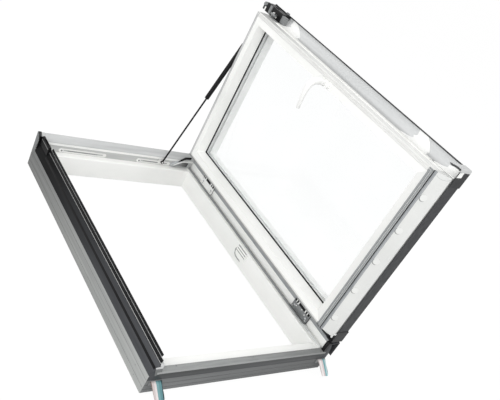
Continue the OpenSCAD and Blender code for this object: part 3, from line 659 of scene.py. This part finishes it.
# pale outer bead on the cladding's slope, which shows through the glass
bead = {
    "lowIn": 54.4,
    "highIn": 44.4,
    "thick": 0.7,
    "low": 0.5,
    "high": 3.0,
    "footIn": 40.0,        # the foot closes the hollow under the cladding
    "foot": (0.05, 0.25),
}


def makeBead(s):
    low, high = paneTop + s["low"], cladHigh[2] - s["high"]

    def loop(inset, z):
        corners = rect(sashLow[0] + inset, sashLow[1] + inset, farX - inset, sashHigh[1] - inset)
        return [(x, y, z) for x, y in corners]

    g = Gather()
    g.ring([loop(s["lowIn"], low), loop(s["lowIn"] + s["thick"], low),
            loop(s["highIn"] + s["thick"], high), loop(s["highIn"], high)])
    z0, z1 = (paneTop + rise for rise in s["foot"])
    g.ring([loop(s["footIn"], z0), loop(s["lowIn"], z0), loop(s["lowIn"], z1), loop(s["footIn"], z1)])
    g.make("outerBead", "pale_bead", "sash", swung)


makeBead(bead)

# black line where the glass meets the sash, on the two sides that show
glazingLine = {"inset": (51.9, 56.4), "off": (0.1, 3.9)}


def makeGlazingLine(s):
    face = closedBox("inner_pane")[0][2]
    a, b = s["inset"]
    x0, y0 = sashLow[0] + b, sashLow[1] + b
    hingeSide = [(farX - b, y0), (farX - a, y0), (farX - a, sashHigh[1] - a)]
    headSide = [(x0, sashHigh[1] - a), (x0, sashHigh[1] - b), (farX - b, sashHigh[1] - b)]
    g = Gather()
    g.prism(hingeSide + headSide, face - s["off"][1], face - s["off"][0], "z")
    g.make("glazingLine", "black_rubber", "sash", swung)


makeGlazingLine(glazingLine)

# fine lines and a band of painted shade along the sash's lock edge; at its sill edge a dark step of painted shade
# and a second rib
edgeLines = {
    "rise": [8, 19.5, 31],
    "tall": 2.2,
    "out": 0.25,
    "sink": 0.05,
    "band": (8, 33.2),
    "bandLow": 690,
    "bandOut": 0.12,
    "lockBand": 62,        # the band goes higher behind the lock
    "end": 0.5,
    "shadowStep": [(-0.5, 3.4), (0, 3.4), (0, 12.9), (-0.5, 12.9)],
    "rib": [(-9.6, 10.4), (-7.6, 9.0), (-2.6, 8.6), (-0.6, 9.6), (-0.6, 12.9), (-9.6, 12.9)],
}


def makeEdgeLines(s):
    g = Gather()
    x0, x1 = sashLow[0] - s["out"], sashLow[0] + s["sink"]
    for rise in s["rise"]:
        z = sashLow[2] + rise
        g.prism(rect(x0, z, x1, z + s["tall"]), sashLow[1], sashHigh[1], "y")
    g.make("edgeLines", "pale_line", "sash", swung)
    g = Gather()
    x0 = sashLow[0] - s["bandOut"]
    z0, z1, z2 = (sashLow[2] + rise for rise in (*s["band"], s["lockBand"]))
    g.prism(rect(x0, z0, x1, z1), s["bandLow"], sashHigh[1], "y")
    g.prism(rect(x0, z1, x1, z2), lockLow[1], sashHigh[1], "y")
    g.make("edgeBand", "edge_shade", "sash", swung)
    for kind, finishName in (("shadowStep", "dark_hollow"), ("rib", "grey_rubber")):
        outline = [(sashLow[1] + a, sashLow[2] + b) for a, b in s[kind]]
        g = Gather()
        g.prism(outline, sashLow[0] + s["end"], farX - s["end"], "x")
        g.make("sillEdge" + kind.title(), finishName, "sash", swung)


makeEdgeLines(edgeLines)

# painted shade: grey rims round the screw plugs, shifted to one side; and the curved joint near the end of the
# sill board
boardMarks = {
    "at": (-17.0, 22.7),
    "slope": (-0.584, 0.812),
    "first": 93,
    "last": 67,
    "count": 5,
    "sides": 28,
    "rimR": 12.2,
    "rimShift": (2.2, -1.4),
    "rimThick": 0.6,
    "seam": [(11, -11), (16, 0), (17, 14), (14, 28), (8, 38)],
    "seamWide": 0.8,
    "seamThick": 0.2,
}


# a point on the sloping board: along the sash, up the slope, out of it
def onBoard(x, b, c):
    dy, dz = boardMarks["slope"]
    y0, z0 = boardMarks["at"]
    return swung(x, sashLow[1] + y0 + b * dy - c * dz, sashLow[2] + z0 + b * dz + c * dy)


def plugPlaces(s):
    pitch = (farX - sashLow[0] - s["first"] - s["last"]) / (s["count"] - 1)
    return [sashLow[0] + s["first"] + i * pitch for i in range(s["count"])]


def makeBoardMarks(s):
    g = Gather()
    for x in plugPlaces(s):
        g.disc((x + s["rimShift"][0], s["rimShift"][1], 0), s["rimR"], s["rimThick"], "z", s["sides"])
    g.make("plugShadeRims", "shadow_line_grey", "sash", onBoard)
    g = Gather()
    path = [(sashLow[0] + a, b) for a, b in s["seam"]]
    g.prism(sheetSolid(path, s["seamWide"]), 0, s["seamThick"], "z")
    g.make("boardMarks", "pale_gasket", "sash", onBoard)


makeBoardMarks(boardMarks)

# white end of the sill board along the hinge edge, and domed plugs over the screws, both in darker copies of the
# white: painted shade
boardEnd = {
    "outline": [(0, 0), (8.5, 21), (13, 42), (20.5, 45.4), (20.5, 50.5), (0, 50.5)],
    "low": (-10, 13),
    "inside": 2.4,
    "thick": 1.0,
    "plugR": 12.0,
    "plugTall": 1.3,
}


def makeBoardEnd(s, marks):
    dy, dz = marks["slope"]
    y0, z0 = sashLow[1] + s["low"][0], sashLow[2] + s["low"][1]
    rows = []
    for deep in (s["inside"], s["inside"] + s["thick"]):
        y, z = y0 + dz * deep, z0 - dy * deep
        rows.append([(farX + a, y + dy * b, z + dz * b) for a, b in s["outline"]])
    g = Gather()
    g.loft(rows)
    g.make("boardEnd", "board_white_shaded", "sash", swung)
    g = Gather()
    for x in plugPlaces(marks):
        g.disc((x, 0, s["plugTall"] / 2), s["plugR"], s["plugTall"], "z", marks["sides"])
    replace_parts(g.make("plugDomes", "plug_white_shaded", "sash", onBoard, smooth=True), "screw_plugs")


makeBoardEnd(boardEnd, boardMarks)

# handle: thick where it leaves the face, bent over and thinner to its tip
arch = {
    "axis": (-315, 590),
    "sides": 20,
    "square": 0.6,         # 1 is a round section, less is squarer
    "stations": [
        # along the sash, out of its face, thickness, width
        (0, 9.6, 25, 26), (0, 26, 25, 26), (1.5, 40, 24, 26), (7, 53, 21, 25), (18, 62, 17, 24),
        (36, 66, 14, 22), (64, 65.5, 12, 19), (92, 62, 10, 17), (112, 58, 9, 15), (117, 57, 6, 11),
    ],
}


def makeArch(s):
    x0, y0 = s["axis"]
    path = [Vector(station[:2]) for station in s["stations"]]
    turns = [k * math.tau / s["sides"] for k in range(s["sides"])]

    def squarer(u):
        return math.copysign(abs(u) ** s["square"], u)

    rows = []
    for i, (a, b, thick, wide) in enumerate(s["stations"]):
        along = (path[min(i + 1, len(path) - 1)] - path[max(i - 1, 0)]).normalized()
        row = []
        for t in turns:
            p = squarer(math.cos(t)) * thick / 2
            q = squarer(math.sin(t)) * wide / 2
            row.append((x0 + a - along.y * p, y0 + q, sashLow[2] - b - along.x * p))
        rows.append(row)
    g = Gather()
    g.loft(rows)
    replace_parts(g.make("handleArch", "white_clip", "handle", swung, smooth=True), "handle_lever")


makeArch(arch)

# what shows of the lock on the case's room side: boxes as low and high corners
lockBits = {
    "boxes": {
        "mid_fitting": [
            ((-379, 1106, 151.2), (-345, 1121, 152.0)),
            ((-371, 1121, 155.0), (-345, 1138, 156.0)),
            ((-377, 1001, 152.5), (-348, 1029.8, 166.0)),
            ((-388, 1044, 190.0), (-381, 1058, 198.0)),
        ],
        "white_clip": [((-359, 1139, 155.2), (-344.6, 1156, 158.0))],
        "dark_hollow": [
            ((-374, 1144, 157.0), (-344.6, 1170, 184.0)),
            ((-379, 1100, 150.6), (-347, 1106, 152.0)),
        ],
    },
    # the white discs are painted highlights on the bolts
    "bolts": {"white_clip": [(-353, 1061), (-362, 1080)], "steel": [(-361, 1060), (-358, 1071)]},
    "boltR": 3.6,
    "boltTall": 5.0,
    "cap": [(-382, 1127), (-380, 1148), (-375, 1164), (-366, 1174),
            (-357, 1168), (-364, 1156), (-369, 1144), (-371, 1128)],
    "capSpan": (155.6, 161.0),
    "capFinish": "mid_fitting",
}


def makeLockBits(s):
    boltZ = lockLow[2] - s["boltTall"] / 2
    for finishName in ("mid_fitting", "white_clip", "dark_hollow", "steel"):
        g = Gather()
        for (x0, y0, z0), (x1, y1, z1) in s["boxes"].get(finishName, []):
            g.prism(rect(x0, y0, x1, y1), z0, z1, "z")
        for x, y in s["bolts"].get(finishName, []):
            g.disc((x, y, boltZ), s["boltR"], s["boltTall"], "z")
        if finishName == s["capFinish"]:
            g.prism(s["cap"], *s["capSpan"], "z")
        g.make("lock_" + finishName, finishName, "sash", swung)


makeLockBits(lockBits)

# lock-side end cap: white inner half, and the dark slit between clip and lip, painted shade
capMarks = {
    "white": [(382, 899), (384, 880.4), (372, 879.5), (359.6, 878.7), (359.6, 896.8)],
    "out": (0.05, 0.4),
    "slitAt": (406, 892),
    "slope": (0.54, 0.84),
    "slitThick": 0.5,
    # place along the sash, way up the slope
    "slit": [(49.7, -2.2), (35, 0), (19.4, 3.2), (0.5, 3.6), (-10.3, 1.6),
             (-12.2, -3.1), (-4.1, -4.3), (14.6, -2.8), (31.2, -5.3), (42.6, -6.1)],
}


def makeCapMarks(s):
    front = boxMm("end_cap_free")[0][1]
    g = Gather()
    g.prism(s["white"], front - s["out"][1], front - s["out"][0], "y")
    g.make("capWhite", "white_clip", "sash")
    (x, z), (dx, dz) = s["slitAt"], s["slope"]
    rows = []
    for c in (0, s["slitThick"]):
        rows.append([(x + dx * t + dz * c, y, z + dz * t - dx * c) for y, t in s["slit"]])
    g = Gather()
    g.loft(rows)
    g.make("capSlitShade", "dark_hollow", "sash")


makeCapMarks(capMarks)
print("sash dressed")

panelLeft = boxMm("side_panel_left")[0][0]

# rubber lip with two white lines along the lock-side jamb, and the black seam in the cover's knee
jambLip = {
    "white": [[(19.3, 128.0), (19.9, 129.2)], [(24.3, 140.2), (24.7, 141.1)]],
    "black": [[(18.6, 126.6), (19.3, 128.0)], [(19.9, 129.2), (24.3, 140.2)], [(24.7, 141.1), (28.0, 149.5)]],
    "thick": -1.4,
    "seam": [(7.6, 103.4), (9.0, 108.0), (10.8, 111.4)],
    "seamThick": 0.6,
    "endGap": 3.0,
    "sillEnd": -26,
    "flangeZ": 142,        # what stands higher stops short of the keeper
    "keeperLine": (-0.4, 138.6, 0.2, 140.2),
    "keeperEnds": (2, 6),
}


def makeJambLip(s):
    low = boxMm("jamb_seals")[0][1]
    (keeperX, keeperY0, _), (_, keeperY1, _) = boxMm("keeper")

    def sheet(path, thick):
        return sheetSolid([(panelLeft + a, z) for a, z in path], thick)

    for kind, finishName in (("white", "line_grey"), ("black", "black_rubber")):
        g = Gather()
        for path in s[kind]:
            under = path[-1][1] < s["flangeZ"]
            start, end = (s["sillEnd"], keeperY1) if under else (low, keeperY0)
            g.prism(sheet(path, s["thick"]), start, end - s["endGap"], "y")
        if kind == "black":
            g.prism(sheet(s["seam"], s["seamThick"]), s["sillEnd"], keeperY0 - s["endGap"], "y")
        else:  # the upper line goes on along the keeper
            a, z0, b, z1 = s["keeperLine"]
            first, last = s["keeperEnds"]
            g.prism(rect(keeperX + a, z0, keeperX + b, z1), keeperY0 + first, keeperY1 - last, "y")
        g.make(kind + "JambLip", finishName, "frame")


makeJambLip(jambLip)

# grey facing on the head's rebate wall, behind the guide plates
headFacing = {"thick": 0.8, "lift": 0.3}


def makeHeadFacing(s):
    (x0, _, top), (x1, back, _) = boxMm("head_bead")
    low = boxMm("frame_sill")[1][2] + s["lift"]
    g = Gather()
    g.prism(rect(x0, back - s["thick"], x1, back), low, top, "z")
    g.make("headFacing", "wall_grey", "frame")


makeHeadFacing(headFacing)

# small screws in the outer panel and the sill's lip
screws = {
    "panelR": 2.0,
    "lipR": 2.6,
    "thick": 1.0,
    "panel": [(44, 45), (31, 15), (700, 45)],
    "lip": [-290, 20, 290],
    "lipY": -12,
}


def makeScrews(s):
    g = Gather()
    for y, z in s["panel"]:
        g.disc((panelLeft, y, z), s["panelR"], s["thick"], "x")
    top = boxMm("sill_cover")[1][2]
    for x in s["lip"]:
        g.disc((x, s["lipY"], top), s["lipR"], s["thick"], "z")
    g.make("panelScrews", "dull_screw", "frame")


makeScrews(screws)

# painted shade: dark lines down in the saw grooves of the outer panels
grooveLines = {"depth": (0.15, 1.1), "half": 0.8, "end": 3, "sides": [24, 57], "sill": [14, 33]}


def makeGrooveLines(s):
    d0, d1 = s["depth"]
    h, e = s["half"], s["end"]
    (_, y0, _), (_, y1, _) = boxMm("side_panel_left")
    (x0, front, _), (x1, _, _) = boxMm("sill_panel")
    right = boxMm("side_panel_right")[1][0]
    g = Gather()
    for z in s["sides"]:
        for a, b in ((panelLeft + d0, panelLeft + d1), (right - d1, right - d0)):
            g.prism(rect(a, z - h, b, z + h), y0 + e, y1 - e, "y")
    g.make("sideGrooveLines", "groove_shade_soft", "frame")
    g = Gather()
    for z in s["sill"]:
        g.prism(rect(front + d0, z - h, front + d1, z + h), x0 + e, x1 - e, "x")
    g.make("sillGrooveLines", "groove_shade", "frame")


makeGrooveLines(grooveLines)

# dark plate that closes the head end of the lock-side cover
coverEnd = {"outline": [(2.4, 78), (2.4, 146), (17, 146), (21.6, 127), (21.6, 80)], "thick": 1.8, "gap": 0.1}


def makeCoverEnd(s):
    y0 = boxMm("jamb_cover_left")[1][1] + s["gap"]
    g = Gather()
    g.prism([(panelLeft + a, z) for a, z in s["outline"]], y0, y0 + s["thick"], "y")
    g.make("coverEnd", "dark_cover", "frame")


makeCoverEnd(coverEnd)

# grey corner piece between the lock-side cover and the sill's lip, with a painted highlight along its top
cornerPlate = {"outline": [(10.5, 112), (30.4, 116), (44, 84), (21.7, 74)], "out": 0.4, "gap": 0.05}


def makeCornerPlate(s):
    front = boxMm("side_panel_left")[0][1]
    g = Gather()
    g.prism([(panelLeft + a, z) for a, z in s["outline"]], front - s["out"], front - s["gap"], "y")
    g.make("cornerPlate", "corner_block", "frame")


makeCornerPlate(cornerPlate)

# white bead under the head cover, and eyes and slots on the guide plates; the dark slots and the holes in the eyes
# are painted shade
headTrim = {
    "bead": [(0, 114.5), (2.2, 115.5), (2.4, 124.5), (0, 126)],
    "end": 0.5,
    "slotTall": 2.2,
    "slotShare": 0.62,
    "slotThick": 0.5,
    "eyeR": 8.2,
    "eyeIn": 12,
    "eyeThick": 1.0,
    "eyeSides": 28,
    "holeR": 4.2,
    "holeShift": (1.2, -0.8),
    "holeThick": 1.5,
    "holeSides": 24,
}


def makeHeadTrim(s):
    (x0, _, _), (x1, wall, _) = boxMm("head_bead")
    g = Gather()
    g.prism([(wall - a, z) for a, z in s["bead"]], x0 + s["end"], x1 - s["end"], "x")
    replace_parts(g.make("headBeadWhite", "white_clip", "frame"), "head_bead")
    slots, eyes = Gather(), Gather()
    half = s["slotTall"] / 2
    for node in ("track_left", "track_right"):
        (x0, y, z0), (x1, _, z1) = boxMm(node)
        x, z = (x0 + x1) / 2, (z0 + z1) / 2
        reach = (x1 - x0) * s["slotShare"] / 2
        slots.prism(rect(x - reach, z - half, x + reach, z + half), y - s["slotThick"], y, "y")
        eyeX = x0 + s["eyeIn"]
        eyes.disc((eyeX, y, z), s["eyeR"], s["eyeThick"], "y", s["eyeSides"])
        dx, dz = s["holeShift"]
        slots.disc((eyeX + dx, y, z + dz), s["holeR"], s["holeThick"], "y", s["holeSides"])
    slots.make("trackSlotShade", "mid_fitting", "frame")
    eyes.make("trackEyes", "white_clip", "frame")


makeHeadTrim(headTrim)

# corner behind the stop: a hollow of painted shade that darkens to the hinge side, its white rim, and a black fan
# of painted shadow from the sash's corner
stopCorner = {
    # finish: outline, span along the frame
    "recess_shade": ([(262, 97), (330, 97), (332, 118), (318, 121), (300, 119), (284, 112), (270, 104)],
                     (1112.4, 1112.9)),
    "white_clip": ([(258, 99), (284, 113), (302, 121), (334, 123),
                    (334, 126), (301, 124.5), (282, 117), (256, 102)],
                   (1110.8, 1112.9)),
    # painted shadow of the sash's corner
    "black_rubber": ([(272, 121), (286, 137), (302, 149), (334, 152), (334, 141), (308, 139), (290, 129)],
                     (1109.0, 1112.0)),
}


def makeStopCorner(s):
    for finishName, (outline, (y0, y1)) in s.items():
        g = Gather()
        g.prism(outline, y0, y1, "y")
        g.make("stop_" + finishName, finishName, "frame")


makeStopCorner(stopCorner)

# hinges: a leg on the ledge with a dark edge of painted shade, black bushes with white between them,
# and white discs painted as highlights where screw heads catch the light
hingeTrim = {
    "leg": (-10.6, -0.2, 94.3, 95.6),
    "edge": (-11.8, -9.6, 94.3, 96.0),
    "edgePast": 1.0,
    "lip": (2.4, 0.2),     # dark lip of painted shade across the sill end, from and to
    "lipGap": 0.4,
    "lipRise": 0.6,
    "sideThick": 1.0,
    "sideLow": 9,
    "bush": [8, 4, 8, 6, 40, 6, 8, 4, 8],
    "bushRise": (37.5, 48.0),
    "bushThick": 3.0,
    "glints": [(0.05, 0.80), (0.22, 0.50), (0.23, 0.26), (0.53, 0.30), (0.74, 0.44), (0.90, 0.74)],
    "glintR": 2.6,
    "glintTall": 1.0,
}


def makeHingeTrim(s):
    black, white, edge = Gather(), Gather(), Gather()
    leg0, leg1, legZ0, legZ1 = s["leg"]
    edge0, edge1, edgeZ0, edgeZ1 = s["edge"]
    for end, legFinish in (("lower", "mid_fitting"), ("upper", "white_clip")):
        (x, y0, z0), (_, y1, _) = boxMm("hinge_leaf_frame_" + end)
        low, high = (z0 + rise for rise in s["bushRise"])
        g = Gather()
        g.prism(rect(x + leg0, legZ0, x + leg1, legZ1), y0, y1, "y")
        g.make("hingeLeg_" + end, legFinish, "frame")
        edge.prism(rect(x + edge0, edgeZ0, x + edge1, edgeZ1), y0 - s["edgePast"], y1, "y")
        lip0, lip1 = (y0 - past for past in s["lip"])
        edge.prism(rect(x + edge1, legZ0, x - s["lipGap"], legZ1 + s["lipRise"]), lip0, lip1, "y")
        edge.prism(rect(x - s["sideThick"], z0 + s["sideLow"], x, high), lip0, lip1, "y")
        y = (y0 + y1 - sum(s["bush"])) / 2
        for i, long in enumerate(s["bush"]):
            bush = white if i % 2 else black
            bush.prism(rect(x - s["bushThick"], low, x, high), y, y + long, "y")
            y += long
        if end == "lower":
            for u, v in s["glints"]:
                spot = (x - s["glintTall"], y1 - u * (y1 - y0), high - v * (high - z0))
                white.disc(spot, s["glintR"], s["glintTall"], "x")
    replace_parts(black.make("hingeBushBlack", "black_plastic", "frame"), "hinge_bushes")
    white.make("hingeBushWhiteGlints", "white_clip", "frame")
    edge.make("hingeEdgeShade", "dark_hollow", "frame")


makeHingeTrim(hingeTrim)

# fixing brackets: straps that bend out and down from the sill, with a leg against it
straps = {
    "path": [(0, 0), (6, 0.6), (14, 3.4), (24, 9), (36, 16), (48, 23), (57, 28)],
    "leftEdge": [(0, -21), (0.5, -19), (1, -17.5)],
    "rightEdge": [(0, 21), (0.3, 17), (0.5, 17.5), (0.75, 21), (1, 17)],
    "tilt": 5.0,
    "thick": 2.0,
    "top": 52.8,
    "leg": (34, 52.8),
}


def makeStraps(s):
    legs = Gather()
    for node, finishName in (("bracket_left", "zinc_left"), ("bracket_right", "zinc_right")):
        (x0, _, _), (x1, front, _) = boxMm(node)
        mid = (x0 + x1) / 2
        rows = []
        for out, drop in s["path"]:
            t = out / s["path"][-1][0]
            xl, xr = mid + between(t, s["leftEdge"]), mid + between(t, s["rightEdge"])
            y, z = front - out, s["top"] - drop
            zr = z - t * s["tilt"]
            rows.append([(xl, y, z), (xr, y, zr), (xr, y, zr - s["thick"]), (xl, y, z - s["thick"])])
        g = Gather()
        g.loft(rows)
        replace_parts(g.make("strap_" + node, finishName, "frame", smooth=True), node)
        low, high = s["leg"]
        legs.prism(rect(x0, low, x1, high), front - s["thick"], front, "y")
    legs.make("strapLegs", "mid_fitting", "frame")


makeStraps(straps)

# shadow lines of the finger catch: between its ribs, and the round lower edge
catchLines = {
    "ribs": [-4, 8, 20],
    "ribTall": 2.8,
    "ribEnd": 4,
    "out": 0.4,
    "rim": [(74, 30), (72.5, 18), (67, 7), (57, 1.8), (40, 1.0), (22, 1.4)],
    "rimWide": 2.6,
    "rimDeep": 2.0,
}


def makeCatchLines(s):
    (x0, y0, z0), (x1, y1, z1) = boxMm("finger_catch")
    g = Gather()
    for drop in s["ribs"]:
        rib = rect(y0 + s["ribEnd"], z1 - drop - s["ribTall"], y1 - s["ribEnd"], z1 - drop)
        g.prism(rib, x0 - s["out"], x0 + s["out"], "x")
    rim = [(y0 + a, z0 + b) for a, b in s["rim"]]
    g.prism(sheetSolid(rim, s["rimWide"]), x0 - s["out"], x1 - s["rimDeep"], "x")
    g.make("catchLines", "shadow_line_grey", "frame")


makeCatchLines(catchLines)
print("frame dressed")
